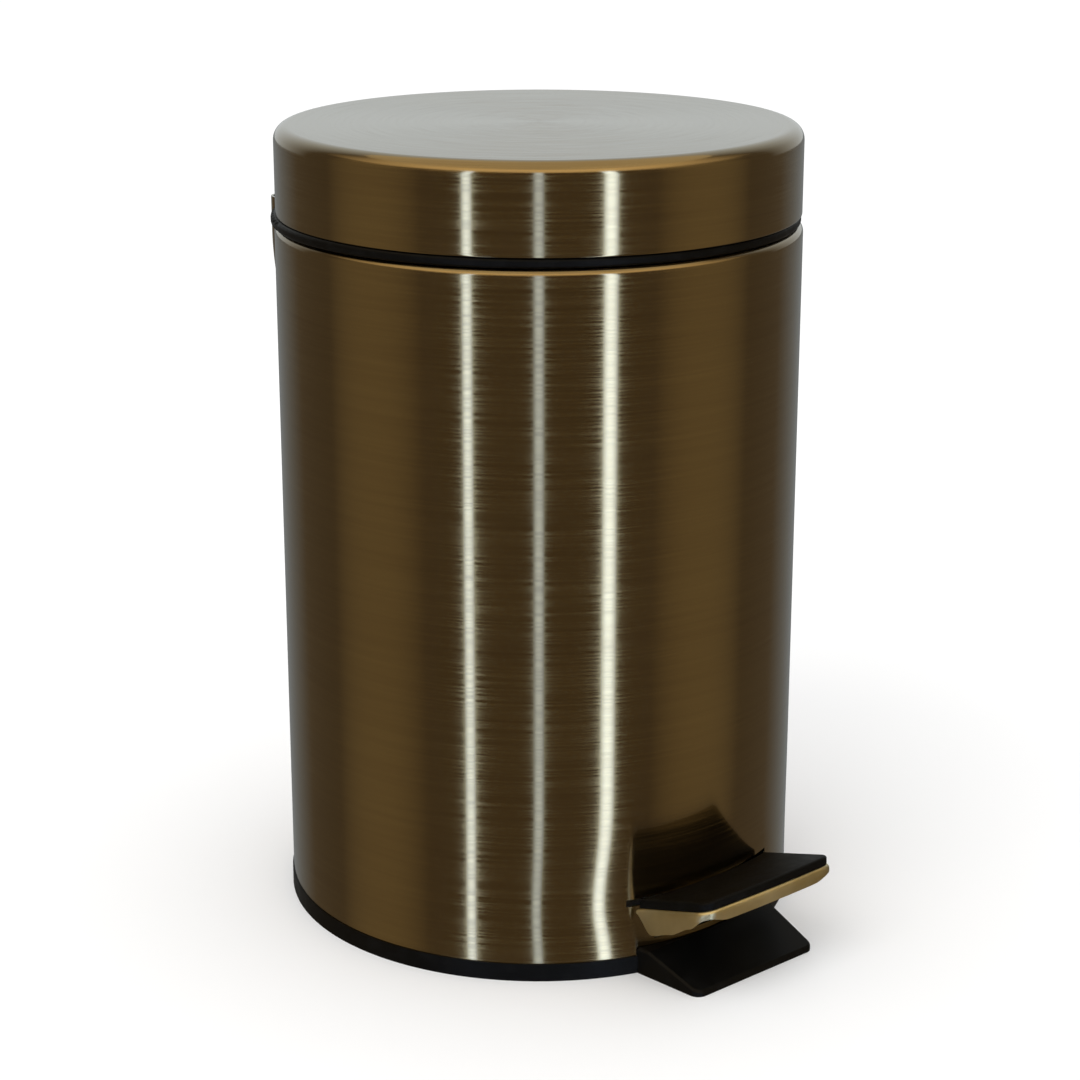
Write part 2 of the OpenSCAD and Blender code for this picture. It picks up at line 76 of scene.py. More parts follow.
def from_camera_side(azimuth_deg, distance, height):
    """A point round the can: azimuth 0 is towards the camera, and positive goes to its right."""
    a = math.radians(azimuth_deg)
    towards = Vector((-math.sin(CAMERA_AZIMUTH), -math.cos(CAMERA_AZIMUTH), 0))
    right = Vector((math.cos(CAMERA_AZIMUTH), -math.sin(CAMERA_AZIMUTH), 0))
    return (towards * math.cos(a) + right * math.sin(a)) * distance + Vector((0, 0, height))


def make_camera():
    data = bpy.data.cameras.new("camera")
    data.sensor_width = SENSOR_WIDTH
    data.lens = CAMERA_LENS
    data.clip_start = CLIP_START
    camera = bpy.data.objects.new("camera", data)
    bpy.context.scene.collection.objects.link(camera)
    camera.location = from_camera_side(0, CAMERA_DISTANCE, CAMERA_HEIGHT)
    camera.rotation_euler = (math.pi / 2 - CAMERA_PITCH, 0, -CAMERA_AZIMUTH - AIM_OFFSET)
    bpy.context.scene.camera = camera


# ---------------------------------------------------------------- lights and stage

# Plain studio light, for what the metal mirrors: a backdrop, a fill on each side, three upright
# strips in front and a band above. Each softbox has a name, the azimuth of its middle (0 towards
# the camera, positive to the right), its width, the elevations of its lower and upper edge, all in
# degrees, its colour and its strength. Only gloss sees them.
NEUTRAL = (0.95, 1.0, 1.0)
WARM = (1.0, 0.75, 0.4)
DAYLIGHT = (0.55, 0.7, 0.95)
SOFTBOXES = (
    ("backdrop", 180, 130, 0, 50, NEUTRAL, 0.6),
    ("backdrop_foot", 180, 110, -60, 0, NEUTRAL, 0.2),
    ("left_fill", -75, 50, -60, 30, WARM, 0.25),
    ("right_fill", 75, 50, -60, 30, WARM, 0.25),
    ("left_strip", -30, 5, -60, 30, DAYLIGHT, 5.0),
    ("centre_strip", 0, 5, -60, 30, DAYLIGHT, 2.5),
    ("right_strip", 30, 7, -60, 30, DAYLIGHT, 6.0),
    ("top_band", 0, 230, 30, 55, WARM, 1.4),
)
# Exponent of a softbox's fade towards its sides, where higher is sharper, its distance from the
# can's axis, and the height from which its elevations count
FEATHER = 2.5
SOFTBOX_DISTANCE = 2.5
SOFTBOX_LEVEL = 0.13
# A softbox has a column about every 3 degrees, and at least 12.
COLUMN_WIDTH = 3
COLUMNS_MIN = 12

# The dim room between the softboxes, and a disc overhead, both in reflections only
ROOM_RADIANCE = (0.12, 0.09, 0.055)
CEILING_HEIGHT = 2.3
CEILING_RADIUS = 1.8
CEILING_POINTS = 48
CEILING_RADIANCE = (0.8, 0.65, 0.4)

# The white surround that the camera and diffuse light see
SURROUND_STRENGTH = 1.08

# One square soft light, above and to the camera's left, aimed at the middle of the can
KEY_AZIMUTH = -35
KEY_DISTANCE = 1.6
KEY_HEIGHT = 1.9
KEY_SIDE = 1.6
KEY_RADIANCE = 1.6
KEY_COLOR = (1.0, 0.98, 0.95)
KEY_AIM = Vector((0, 0, 0.12))

FLOOR_HALF = 8.0


def glow(name):
    """A light surface that is only found by reflected rays: its points hold its radiance."""
    material = bpy.data.materials.new(name)
    material.use_nodes = True
    tree = material.node_tree
    tree.nodes.clear()
    emission = tree.nodes.new("ShaderNodeEmission")
    radiance = tree.nodes.new("ShaderNodeAttribute")
    radiance.attribute_name = "radiance"
    tree.links.new(radiance.outputs["Color"], emission.inputs["Color"])
    output = tree.nodes.new("ShaderNodeOutputMaterial")
    tree.links.new(emission.outputs[0], output.inputs["Surface"])
    material.cycles.emission_sampling = "NONE"
    return material


def gloss_only(name, vertices, faces, radiances):
    """A stage surface that the camera, diffuse light and shadows don't see, with its radiance
    at each of its points."""
    mesh = bpy.data.meshes.new(name)
    mesh.from_pydata(vertices, [], faces)
    glowing = mesh.color_attributes.new("radiance", "FLOAT_COLOR", "POINT")
    for point, radiance in zip(glowing.data, radiances):
        point.color = (*radiance, 1)
    mesh.materials.append(glow(name))
    panel = bpy.data.objects.new(name, mesh)
    bpy.context.scene.collection.objects.link(panel)
    panel.visible_camera = False
    panel.visible_diffuse = False
    panel.visible_shadow = False
    panel.visible_transmission = False


def make_softbox(name, azimuth, width, low, high, color, strength):
    """Part of an upright cylinder round the can, which fades to the room at its two sides."""
    steps = max(COLUMNS_MIN, round(width / COLUMN_WIDTH))
    bottom = SOFTBOX_LEVEL + SOFTBOX_DISTANCE * math.tan(math.radians(low))
    top = SOFTBOX_LEVEL + SOFTBOX_DISTANCE * math.tan(math.radians(high))
    vertices, radiances = [], []
    for i in range(steps + 1):
        turn = azimuth - width / 2 + width * i / steps
        full = 1 - abs(2 * i / steps - 1) ** FEATHER
        shade = [room + (strength * lit - room) * full for room, lit in zip(ROOM_RADIANCE, color)]
        for z in (bottom, top):
            vertices.append(from_camera_side(turn, SOFTBOX_DISTANCE, z))
            radiances.append(shade)
    faces = [(2 * i, 2 * i + 2, 2 * i + 3, 2 * i + 1) for i in range(steps)]
    gloss_only(name, vertices, faces, radiances)


def make_ceiling():
    """A level disc above the can."""
    turns = [2 * math.pi * i / CEILING_POINTS for i in range(CEILING_POINTS)]
    rim = [(CEILING_RADIUS * math.cos(t), CEILING_RADIUS * math.sin(t), CEILING_HEIGHT)
           for t in turns]
    gloss_only("ceiling", rim, [tuple(range(CEILING_POINTS))], [CEILING_RADIANCE] * CEILING_POINTS)


def make_key_light():
    """Its power follows from its radiance and its area. The metal doesn't mirror it."""
    data = bpy.data.lights.new("key_light", "AREA")
    data.shape = "RECTANGLE"
    data.size = KEY_SIDE
    data.size_y = KEY_SIDE
    data.energy = KEY_RADIANCE * math.pi * KEY_SIDE * KEY_SIDE
    data.color = KEY_COLOR
    light = bpy.data.objects.new("key_light", data)
    bpy.context.scene.collection.objects.link(light)
    light.location = from_camera_side(KEY_AZIMUTH, KEY_DISTANCE, KEY_HEIGHT)
    direction = KEY_AIM - light.location
    light.rotation_euler = direction.to_track_quat("-Z", "Y").to_euler()
    light.visible_camera = False
    light.visible_glossy = False


def make_lights():
    for softbox in SOFTBOXES:
        make_softbox(*softbox)
    make_ceiling()
    make_key_light()


def make_world():
    """A white surround for the eye and for diffuse light, and a dim warm room in reflections."""
    world = bpy.data.worlds.new("studio")
    bpy.context.scene.world = world
    world.use_nodes = True
    nodes = world.node_tree.nodes
    links = world.node_tree.links
    nodes.clear()
    output = nodes.new("ShaderNodeOutputWorld")
    path = nodes.new("ShaderNodeLightPath")
    soft = nodes.new("ShaderNodeBackground")
    soft.inputs["Color"].default_value = (1.0, 1.0, 1.0, 1)
    soft.inputs["Strength"].default_value = SURROUND_STRENGTH
    room = nodes.new("ShaderNodeBackground")
    room.inputs["Color"].default_value = (*ROOM_RADIANCE, 1)
    room.inputs["Strength"].default_value = 1.0
    mix = nodes.new("ShaderNodeMixShader")
    links.new(path.outputs["Is Glossy Ray"], mix.inputs["Fac"])
    links.new(soft.outputs["Background"], mix.inputs[1])
    links.new(room.outputs["Background"], mix.inputs[2])
    links.new(mix.outputs["Shader"], output.inputs["Surface"])


def make_floor():
    """A plain pale floor."""
    mesh = bpy.data.meshes.new("floor")
    corners = [(x * FLOOR_HALF, y * FLOOR_HALF, 0) for x, y in ((-1, -1), (1, -1), (1, 1), (-1, 1))]
    mesh.from_pydata(corners, [], [(0, 1, 2, 3)])
    floor = bpy.data.objects.new("floor", mesh)
    bpy.context.scene.collection.objects.link(floor)
    material = bpy.data.materials.new("floor_paint")
    material.use_nodes = True
    shader = material.node_tree.nodes["Principled BSDF"]
    shader.inputs["Base Color"].default_value = (0.95, 0.95, 0.95, 1)
    shader.inputs["Roughness"].default_value = 0.9
    shader.inputs["Specular IOR Level"].default_value = 0.0
    mesh.materials.append(material)
    # A white floor this near would wash out the dark metal, so the metal doesn't mirror it.
    floor.visible_glossy = False


# ---------------------------------------------------------------- materials

class Nodes:
    """Short names for building a node tree."""

    def __init__(self, name):
        self.material = bpy.data.materials.new(name)
        self.material.use_nodes = True
        self.tree = self.material.node_tree
        self.shader = self.tree.nodes["Principled BSDF"]

    def node(self, kind, **settings):
        """A new node. kind is its type without the leading ShaderNode."""
        made = self.tree.nodes.new("ShaderNode" + kind)
        for key, value in settings.items():
            setattr(made, key, value)
        return made

    def plug(self, value, socket):
        """Links another node's output to a socket, or sets the socket to a plain value."""
        if isinstance(value, bpy.types.NodeSocket):
            self.tree.links.new(value, socket)
        else:
            socket.default_value = value

    def math(self, operation, a, b=0.0):
        made = self.node("Math", operation=operation)
        self.plug(a, made.inputs[0])
        self.plug(b, made.inputs[1])
        return made.outputs[0]

    def vector(self, x, y, z):
        made = self.node("CombineXYZ")
        for value, socket in zip((x, y, z), made.inputs):
            self.plug(value, socket)
        return made.outputs[0]

    def noise(self, vector, scale, detail=2.0, roughness=0.5):
        made = self.node("TexNoise")
        self.plug(vector, made.inputs["Vector"])
        made.inputs["Scale"].default_value = scale
        made.inputs["Detail"].default_value = detail
        made.inputs["Roughness"].default_value = roughness
        return made.outputs["Fac"]

    def span(self, value, low, high, out_low, out_high):
        """Maps low to high onto out_low to out_high, and holds the ends."""
        made = self.node("MapRange")
        for number, socket in zip((value, low, high, out_low, out_high), made.inputs):
            self.plug(number, socket)
        return made.outputs["Result"]

    def mix(self, factor, a, b):
        made = self.node("Mix", data_type="RGBA")
        self.plug(factor, made.inputs[0])
        self.plug(a, made.inputs[6])
        self.plug(b, made.inputs[7])
        return made.outputs[2]

    def bump(self, height, distance):
        made = self.node("Bump")
        made.inputs["Strength"].default_value = 1.0
        made.inputs["Distance"].default_value = distance
        self.plug(height, made.inputs["Height"])
        return made.outputs["Normal"]

    def position(self):
        return self.node("TexCoord").outputs["Object"]


# Smallest radius in the brushing's coordinates: it keeps the divisions finite on the axis.
AXIS_RADIUS = 1e-5


def turned_coordinates(n):
    """Coordinates for brushing that runs round the can's axis, on walls and on flat tops.

    Returns the direction round the axis as x and y on the unit circle, and the distance across
    the brushing, which grows up a wall and inwards over a top."""
    split = n.node("SeparateXYZ")
    n.plug(n.position(), split.inputs[0])
    x, y, z = split.outputs
    radius = n.math("SQRT", n.math("ADD", n.math("MULTIPLY", x, x), n.math("MULTIPLY", y, y)))
    radius = n.math("MAXIMUM", radius, AXIS_RADIUS)
    across = n.math("SUBTRACT", z, radius)
    return n.math("DIVIDE", x, radius), n.math("DIVIDE", y, radius), across


def brushed_brass(name, dark, light, roughness):
    """Lacquered antique brass on steel, brushed round the can's axis."""
    n = Nodes(name)
    ux, uy, across = turned_coordinates(n)

    def streaks(length, pitch, detail):
        """Noise drawn out along the brushing: length and pitch are its grain, in metres."""
        turns = BODY_R / length
        stretched = n.vector(n.math("MULTIPLY", ux, turns), n.math("MULTIPLY", uy, turns),
                             n.math("MULTIPLY", across, 1 / pitch))
        return n.noise(stretched, 1.0, detail)

    fine = streaks(40 * MM, 0.6 * MM, 3.0)
    coarse = streaks(70 * MM, 2.2 * MM, 2.0)
    bands = streaks(400 * MM, 18 * MM, 1.0)
    cloud = n.noise(n.position(), 18.0, 2.0)
    tone = n.math("ADD", n.math("MULTIPLY", fine, 0.35), n.math("MULTIPLY", coarse, 0.3))
    tone = n.math("ADD", tone, n.math("MULTIPLY", bands, 0.2))
    tone = n.math("ADD", tone, n.math("MULTIPLY", cloud, 0.15))
    color = n.mix(n.span(tone, 0.35, 0.65, 0.0, 1.0), (*dark, 1), (*light, 1))
    n.plug(color, n.shader.inputs["Base Color"])
    n.shader.inputs["Metallic"].default_value = 1.0
    n.plug(n.span(fine, 0.35, 0.65, roughness - 0.05, roughness + 0.07),
           n.shader.inputs["Roughness"])
    n.shader.inputs["Anisotropic"].default_value = 0.92
    n.shader.inputs["Anisotropic Rotation"].default_value = 0.25
    n.shader.inputs["Coat Weight"].default_value = 1.0
    n.shader.inputs["Coat Roughness"].default_value = 0.04
    tangent = n.node("Tangent", direction_type="RADIAL", axis="Z")
    n.plug(tangent.outputs[0], n.shader.inputs["Tangent"])
    n.plug(n.bump(fine, 0.015 * MM), n.shader.inputs["Normal"])
    return n.material


def plain_metal(name, dark, light, roughness, bump=0.004 * MM):
    """Satin sheet or wire with a fine even grain and faint stains."""
    n = Nodes(name)
    fine = n.noise(n.position(), 1 / (0.4 * MM), 3.0)
    stain = n.noise(n.position(), 60.0, 3.0, 0.6)
    color = n.mix(n.span(stain, 0.35, 0.65, 0.0, 1.0), (*dark, 1), (*light, 1))
    n.plug(color, n.shader.inputs["Base Color"])
    n.shader.inputs["Metallic"].default_value = 1.0
    n.plug(n.span(stain, 0.3, 0.7, roughness - 0.06, roughness + 0.06),
           n.shader.inputs["Roughness"])
    n.plug(n.bump(fine, bump), n.shader.inputs["Normal"])
    return n.material


def moulded(name, color, roughness, grain=0.5 * MM, bump=0.01 * MM, gloss=0.3):
    """Moulded plastic or rubber with a fine erosion texture and slight scuffs."""
    n = Nodes(name)
    fine = n.noise(n.position(), 1 / grain, 4.0, 0.6)
    scuff = n.noise(n.position(), 160.0, 4.0, 0.65)
    worn = tuple(min(1.0, c * 1.8 + 0.001) for c in color)
    tint = n.mix(n.span(scuff, 0.5, 0.75, 0.0, 1.0), (*color, 1), (*worn, 1))
    n.plug(tint, n.shader.inputs["Base Color"])
    n.plug(n.span(scuff, 0.3, 0.7, roughness - 0.06, roughness + 0.08),
           n.shader.inputs["Roughness"])
    n.plug(n.bump(fine, bump), n.shader.inputs["Normal"])
    n.shader.inputs["Specular IOR Level"].default_value = gloss
    return n.material


# ---------------------------------------------------------------- mesh helpers

# Edges sharper than this stay crisp.
CRISP_EDGE = math.radians(35)
# Points closer together than this become one.
MERGE_DISTANCE = 1e-7
# The angles of a bend through a quarter turn
QUARTER_TURN = [math.radians(15 * i) for i in range(7)]


def arc(center, radius, start_deg, end_deg, steps):
    """Points along an arc in a plane."""
    points = []
    for i in range(steps + 1):
        a = math.radians(start_deg + (end_deg - start_deg) * i / steps)
        points.append((center[0] + radius * math.cos(a), center[1] + radius * math.sin(a)))
    return points


def make_object(name, vertices, faces):
    """A smooth-shaded mesh object with crisp edges where it is sharp."""
    mesh = bpy.data.meshes.new(name)
    mesh.from_pydata([tuple(v) for v in vertices], [], faces)
    shape = bmesh.new()
    shape.from_mesh(mesh)
    bmesh.ops.remove_doubles(shape, verts=shape.verts, dist=MERGE_DISTANCE)
    bmesh.ops.recalc_face_normals(shape, faces=shape.faces)
    for edge in shape.edges:
        if len(edge.link_faces) == 2:
            edge.smooth = edge.calc_face_angle() < CRISP_EDGE
    for face in shape.faces:
        face.smooth = True
    shape.to_mesh(mesh)
    shape.free()
    made = bpy.data.objects.new(name, mesh)
    bpy.context.scene.collection.objects.link(made)
    return made


def revolve(name, outline, steps):
    """Turns an outline of (radius, z) points, from axis to axis, about the can's axis."""
    vertices = []
    for i in range(steps):
        a = 2 * math.pi * i / steps
        for r, z in outline:
            vertices.append((r * math.cos(a), r * math.sin(a), z))
    count = len(outline)
    faces = []
    for i in range(steps):
        j = (i + 1) % steps
        for k in range(count - 1):
            faces.append((i * count + k, j * count + k, j * count + k + 1, i * count + k + 1))
    return make_object(name, vertices, faces)


def fold_sheet(piece, thickness):
    """Gives an outer surface its thickness, inwards, with crisp cut edges."""
    thick = piece.modifiers.new("sheet", "SOLIDIFY")
    thick.thickness = thickness
    thick.offset = -1
    crisp = piece.modifiers.new("cut_edges", "EDGE_SPLIT")
    crisp.split_angle = CRISP_EDGE
    return piece


def dress(piece, material, body, replaced):
    """Gives a piece its material and its body, and hides the CAD node that it stands for."""
    piece.data.materials.clear()
    piece.data.materials.append(material)
    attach(piece, body)
    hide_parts(replaced)


# ---------------------------------------------------------------- body shell

def wall_angle(x):
    """How far round the wall a point at x from the middle plane is, in degrees."""
    return math.degrees(math.asin(x / BODY_R))


SHOULDER_R = 2.5 * MM
# Direction of the pedal from the can's axis, in degrees from +X
PEDAL_ANGLE = -90.0

# Openings of the wall: the pedal window, the slot across it that reaches further to both sides, and
# the notch in the rear's upper edge for the lid's crank. The half widths are in degrees from the
# pedal. The notch runs from the middle of the rear to NOTCH_END degrees from it, towards +X.
WINDOW_HALF = wall_angle(22 * MM)
WINDOW_LOW = 10.5 * MM
WINDOW_HIGH = 24.0 * MM
SLOT_HALF = wall_angle(31.2 * MM)
SLOT_LOW = 22.6 * MM
SLOT_HIGH = 25.0 * MM
NOTCH_END = wall_angle(9 * MM)
NOTCH_LOW = 213 * MM

# The grid of the wall is finer round the pedal, out to this angle and up to this height.
FINE_ANGLE = 60
FINE_TOP = 60 * MM

# Shallow dent of the wall round the pedal window, with its spread to the sides, up and down
DENT_DEPTH = 1.6 * MM
DENT_HALF_ANGLE = 18.0
DENT_Z = 23 * MM
DENT_ABOVE = 13 * MM
DENT_BELOW = 9 * MM


def spread(low, high, step):
    """Evenly spaced values from low up to, but without, high."""
    count = max(1, round((high - low) / step))
    return [low + (high - low) * i / count for i in range(count)]


def dent(angle_from_pedal, z):
    """How far the wall is pressed in at an angle from the pedal and a height."""
    scale = DENT_ABOVE if z > DENT_Z else DENT_BELOW
    return DENT_DEPTH * math.exp(-0.5 * (angle_from_pedal / DENT_HALF_ANGLE) ** 2
                                 - 0.5 * ((z - DENT_Z) / scale) ** 2)


def wall_angles():
    """The wall's columns, in degrees from the pedal: stretches between the openings' ends."""
    angles = []
    for low, high, step in [(-180, -FINE_ANGLE, 2.0), (-FINE_ANGLE, -SLOT_HALF, 1.0),
                            (-SLOT_HALF, -WINDOW_HALF, 0.7), (-WINDOW_HALF, WINDOW_HALF, 0.8),
                            (WINDOW_HALF, SLOT_HALF, 0.7), (SLOT_HALF, FINE_ANGLE, 1.0),
                            (FINE_ANGLE, 180 - NOTCH_END, 2.0), (180 - NOTCH_END, 180, 0.9)]:
        angles += spread(low, high, step)
    return [round(a, 6) for a in angles]


def wall_outline():
    """The wall from its lower edge to its rounded shoulder, as (radius, z) points."""
    low, high = SHELL_LOW.z, SHELL_HIGH.z
    levels = [low, low + 0.15 * MM]
    for start, end, step in [(low + 0.6 * MM, WINDOW_LOW, 0.8), (WINDOW_LOW, SLOT_LOW, 0.8),
                             (SLOT_LOW, WINDOW_HIGH, 0.7), (WINDOW_HIGH, SLOT_HIGH, 0.5),
                             (SLOT_HIGH, FINE_TOP, 1.2), (FINE_TOP, NOTCH_LOW, 12.0),
                             (NOTCH_LOW, high - SHOULDER_R, 2.5)]:
        levels += spread(start, end, step * MM)
    outline = [(BODY_R, z) for z in levels]
    outline += arc((BODY_R - SHOULDER_R, high - SHOULDER_R), SHOULDER_R, 0, 90, 8)
    outline.append((BODY_R - SHOULDER_R - 0.1 * MM, high))
    return outline


def is_open(from_pedal, z):
    """Whether a place on the wall, in degrees from the pedal and in metres, is in an opening."""
    in_window = abs(from_pedal) < WINDOW_HALF and WINDOW_LOW < z < WINDOW_HIGH
    in_slot = abs(from_pedal) < SLOT_HALF and SLOT_LOW < z < SLOT_HIGH
    in_notch = 180 - NOTCH_END < from_pedal < 180 and z > NOTCH_LOW
    return in_window or in_slot or in_notch


def make_shell():
    """The round wall with its dent and its openings."""
    angles = wall_angles()
    outline = wall_outline()
    vertices = []
    for from_pedal in angles:
        a = math.radians(PEDAL_ANGLE + from_pedal)
        for r, z in outline:
            pressed = r - dent((from_pedal + 180) % 360 - 180, z)
            vertices.append((pressed * math.cos(a), pressed * math.sin(a), z))
    count = len(outline)
    faces = []
    for i in range(len(angles)):
        j = (i + 1) % len(angles)
        middle = angles[i] + (angles[j] - angles[i]) % 360 / 2
        for k in range(count - 1):
            if not is_open(middle, (outline[k][1] + outline[k + 1][1]) / 2):
                faces.append((i * count + k, j * count + k, j * count + k + 1, i * count + k + 1))
    shell = make_object("body_shell", vertices, faces)
    return fold_sheet(shell, SHEET)


# ---------------------------------------------------------------- lid

LID_R = LID_HIGH.x
LID_FILLET = 4.5 * MM
LID_STEPS = 192


def make_lid():
    """A cap with a rounded edge and a round hem. The extra points on its straight stretches keep
    their smooth shading flat."""
    low, high = LID_LOW.z, LID_HIGH.z
    hem = SHEET / 2
    inner = LID_R - SHEET
    corner = (LID_R - LID_FILLET, high - LID_FILLET)
    outline = [(0.0, high), (10 * MM, high), (40 * MM, high), (70 * MM, high),
               (corner[0] - 1.5 * MM, high), (corner[0] - 0.3 * MM, high)]
    outline += arc(corner, LID_FILLET, 90, 0, 12)
    outline += [(LID_R, corner[1] - 0.3 * MM), (LID_R, corner[1] - 3 * MM), (LID_R, low + 3 * MM),
                (LID_R, low + 0.6 * MM)]
    outline += arc((LID_R - hem, low + hem), hem, 0, -180, 6)
    outline += [(inner, low + 1 * MM), (inner, corner[1])]
    outline += arc(corner, LID_FILLET - SHEET, 0, 90, 8)[1:]
    outline += [(40 * MM, high - SHEET), (0.0, high - SHEET)]
    return revolve("lid_cap", outline, LID_STEPS)


# ---------------------------------------------------------------- pedal

TREAD_TILT = math.radians(17)
TREAD_HALF = TREAD_HIGH.x
TREAD_FRONT = -TREAD_LOW.y
TREAD_CORNER = 5 * MM
TREAD_SHEET = 1.0 * MM
# The bend at the tread's edge: how far in it starts, how far down it goes, and the most that it
# takes of the edge's depth
BEND_IN = 1.6 * MM
BEND_DOWN = 3.0 * MM
BEND_SHARE = 0.65
# Radius about the can's axis that the tread's back edge keeps
TREAD_REAR = BODY_R + 0.8 * MM
SIDE_STEPS = 34
FRONT_STEPS = 24
REAR_STEPS = 24

# The pad's edge lies this far inside the tread's, its underside this far above the tread.
PAD_INSET = 1 * MM
PAD_LIFT = 0.02 * MM
PAD_THICK = 2.9 * MM
PAD_ROUND = 1.1 * MM
# Radius about the can's axis that the pad's back edge keeps, and the share of the rounding that
# this edge draws in by
PAD_REAR = BODY_R + 1.0 * MM
PAD_REAR_ROUND = 0.3

# How deep the tread's side flange hangs in mm, by distance from the can's axis: it tapers to a
# waist at the front corner. The front lip grows from that waist to its full depth.
TREAD_FLANGE = ((70, 1.2), (79, 1.2), (87, 8.8), (95, 8.0), (103.5, 5.6), (109, 2.8), (111.5, 2.3))
LIP_DEEP = 4.6 * MM
LIP_GROWTH = 10 * MM
FRONT_BOW = 1.2 * MM


def tread_height(s):
    """Height of the tread's upper face at a distance s in front of the can's axis."""
    return TREAD_HIGH.z - (TREAD_FRONT - s) * math.tan(TREAD_TILT)


def ease(t):
    """Smooth step from 0 to 1."""
    t = min(1.0, max(0.0, t))
    return t * t * (3 - 2 * t)


def edge_depth(x, s):
    """Depth of the folded edge at a point of the tread's outline."""
    waist = TREAD_FLANGE[-1][1] * MM
    lip = waist + (LIP_DEEP - waist) * ease((TREAD_HALF - abs(x)) / LIP_GROWTH)
    for (s0, d0), (s1, d1) in zip(TREAD_FLANGE, TREAD_FLANGE[1:]):
        if s <= s1 * MM:
            side = (d0 + (d1 - d0) * ease((s / MM - s0) / (s1 - s0))) * MM
            return side if s < TREAD_FRONT - TREAD_CORNER else max(side, lip)
    return lip


def bowed(x, s):
    """The tread's plan swells forwards in the middle."""
    reach = max(0.0, (s - BODY_R) / (TREAD_FRONT - BODY_R))
    return (x, s - FRONT_BOW * reach * (x / TREAD_HALF) ** 2)


def tread_loop(inset, rear):
    """Plan of the tread as (x, s) points: left side, front, right side. rear is the radius that
    its back edge keeps from the can's axis. Every inset gives the same number of points."""
    half, front, corner = TREAD_HALF - inset, TREAD_FRONT - inset, TREAD_CORNER - inset
    back = math.sqrt(rear ** 2 - half ** 2)
    side = [back + (front - corner - back) * i / SIDE_STEPS for i in range(SIDE_STEPS)]
    left = [(-half, s) for s in side]
    left += arc((-half + corner, front - corner), corner, 180, 90, 8)
    right = [(-x, s) for x, s in reversed(left)]
    reach = half - corner
    lip = [(reach * (2 * i / FRONT_STEPS - 1), front) for i in range(1, FRONT_STEPS)]
    return [bowed(x, s) for x, s in left + lip + right]


def rear_arc(inset, rear):
    """The tread's back edge, from its right side to its left, without the end points."""
    half = TREAD_HALF - inset
    xs = [half - 2 * half * i / REAR_STEPS for i in range(1, REAR_STEPS)]
    return [(x, math.sqrt(rear ** 2 - x ** 2)) for x in xs]


def on_tread(point, above):
    """The place of a plan point at a height above the tread's upper face."""
    x, s = point
    return (x, -s, tread_height(s) + above)


def make_tread():
    """One pressed sheet: a flat top whose edge bends down into the flange and the front lip."""
    outer = tread_loop(0, TREAD_REAR)
    depths = [edge_depth(x, s) for x, s in outer]
    bends = [min(BEND_DOWN, BEND_SHARE * depth) for depth in depths]
    loops = []
    for a in QUARTER_TURN:
        plan = tread_loop(BEND_IN * (1 - math.sin(a)), TREAD_REAR)
        loops.append([on_tread(p, -bend * (1 - math.cos(a))) for p, bend in zip(plan, bends)])
    for share in (0.5, 1.0):
        loops.append([on_tread(p, -depth * share - bend * (1 - share))
                      for p, depth, bend in zip(outer, depths, bends)])
    count = len(outer)
    vertices = [v for loop in loops for v in loop]
    faces = [(k * count + i, k * count + i + 1, (k + 1) * count + i + 1, (k + 1) * count + i)
             for k in range(len(loops) - 1) for i in range(count - 1)]
    first_rear = len(vertices)
    vertices += [on_tread(p, 0) for p in rear_arc(BEND_IN, TREAD_REAR)]
    faces.append(tuple(range(count)) + tuple(range(first_rear, len(vertices))))
    tread = make_object("pedal_plate", vertices, faces)
    return fold_sheet(tread, TREAD_SHEET)


def make_pad():
    """Moulded rubber pad with a rounded upper edge."""
    rounds = [(PAD_ROUND * (1 - math.cos(a)), PAD_THICK - PAD_ROUND * (1 - math.sin(a)))
              for a in QUARTER_TURN]
    loops = []
    for inset, above in [(0.0, PAD_LIFT)] + rounds:
        rear = PAD_REAR + PAD_REAR_ROUND * inset
        plan = tread_loop(PAD_INSET + inset, rear) + rear_arc(PAD_INSET + inset, rear)
        loops.append([on_tread(p, above) for p in plan])
    count = len(loops[0])
    vertices = [v for loop in loops for v in loop]
    faces = [(k * count + i, k * count + (i + 1) % count,
              (k + 1) * count + (i + 1) % count, (k + 1) * count + i)
             for k in range(len(loops) - 1) for i in range(count)]
    faces.append(tuple(range(count)))
    faces.append(tuple(range(len(vertices) - count, len(vertices))))
    return make_object("pedal_rubber", vertices, faces)


# ---------------------------------------------------------------- rear cover

COVER_SHEET = 0.8 * MM
COVER_FLANGE = 9 * MM
COVER_HALF = COVER_HIGH.x - COVER_FLANGE
# Exponent of the superellipse that rounds the hood's plan: higher is squarer
COVER_SQUARENESS = 8
# Heights of the hood's back: its slope would start on the axis at the first and ends at the knee,
# and from the third on the back is upright.
COVER_SLOPE_LEVEL = 100 * MM
COVER_KNEE = 196 * MM
COVER_UPRIGHT = 214 * MM
COVER_COLUMNS = 64
COVER_ROWS = 28
# Height of the side flanges, how far they reach under the hood's edge, and their grid
COVER_FLANGE_LOW = 188 * MM
COVER_FLANGE_HIGH = 224 * MM
COVER_FLANGE_OVERLAP = 0.4 * MM
COVER_FLANGE_STEPS = 10


def cover_depth(z):
    """Distance of the hood's back from the axis: a slope at the bottom that eases upright."""
    if z < COVER_KNEE:
        return z - COVER_SLOPE_LEVEL
    t = min(1.0, (z - COVER_KNEE) / (COVER_UPRIGHT - COVER_KNEE))
    at_knee = COVER_KNEE - COVER_SLOPE_LEVEL
    return at_knee + (COVER_HIGH.y - at_knee) * t * (2 - t)


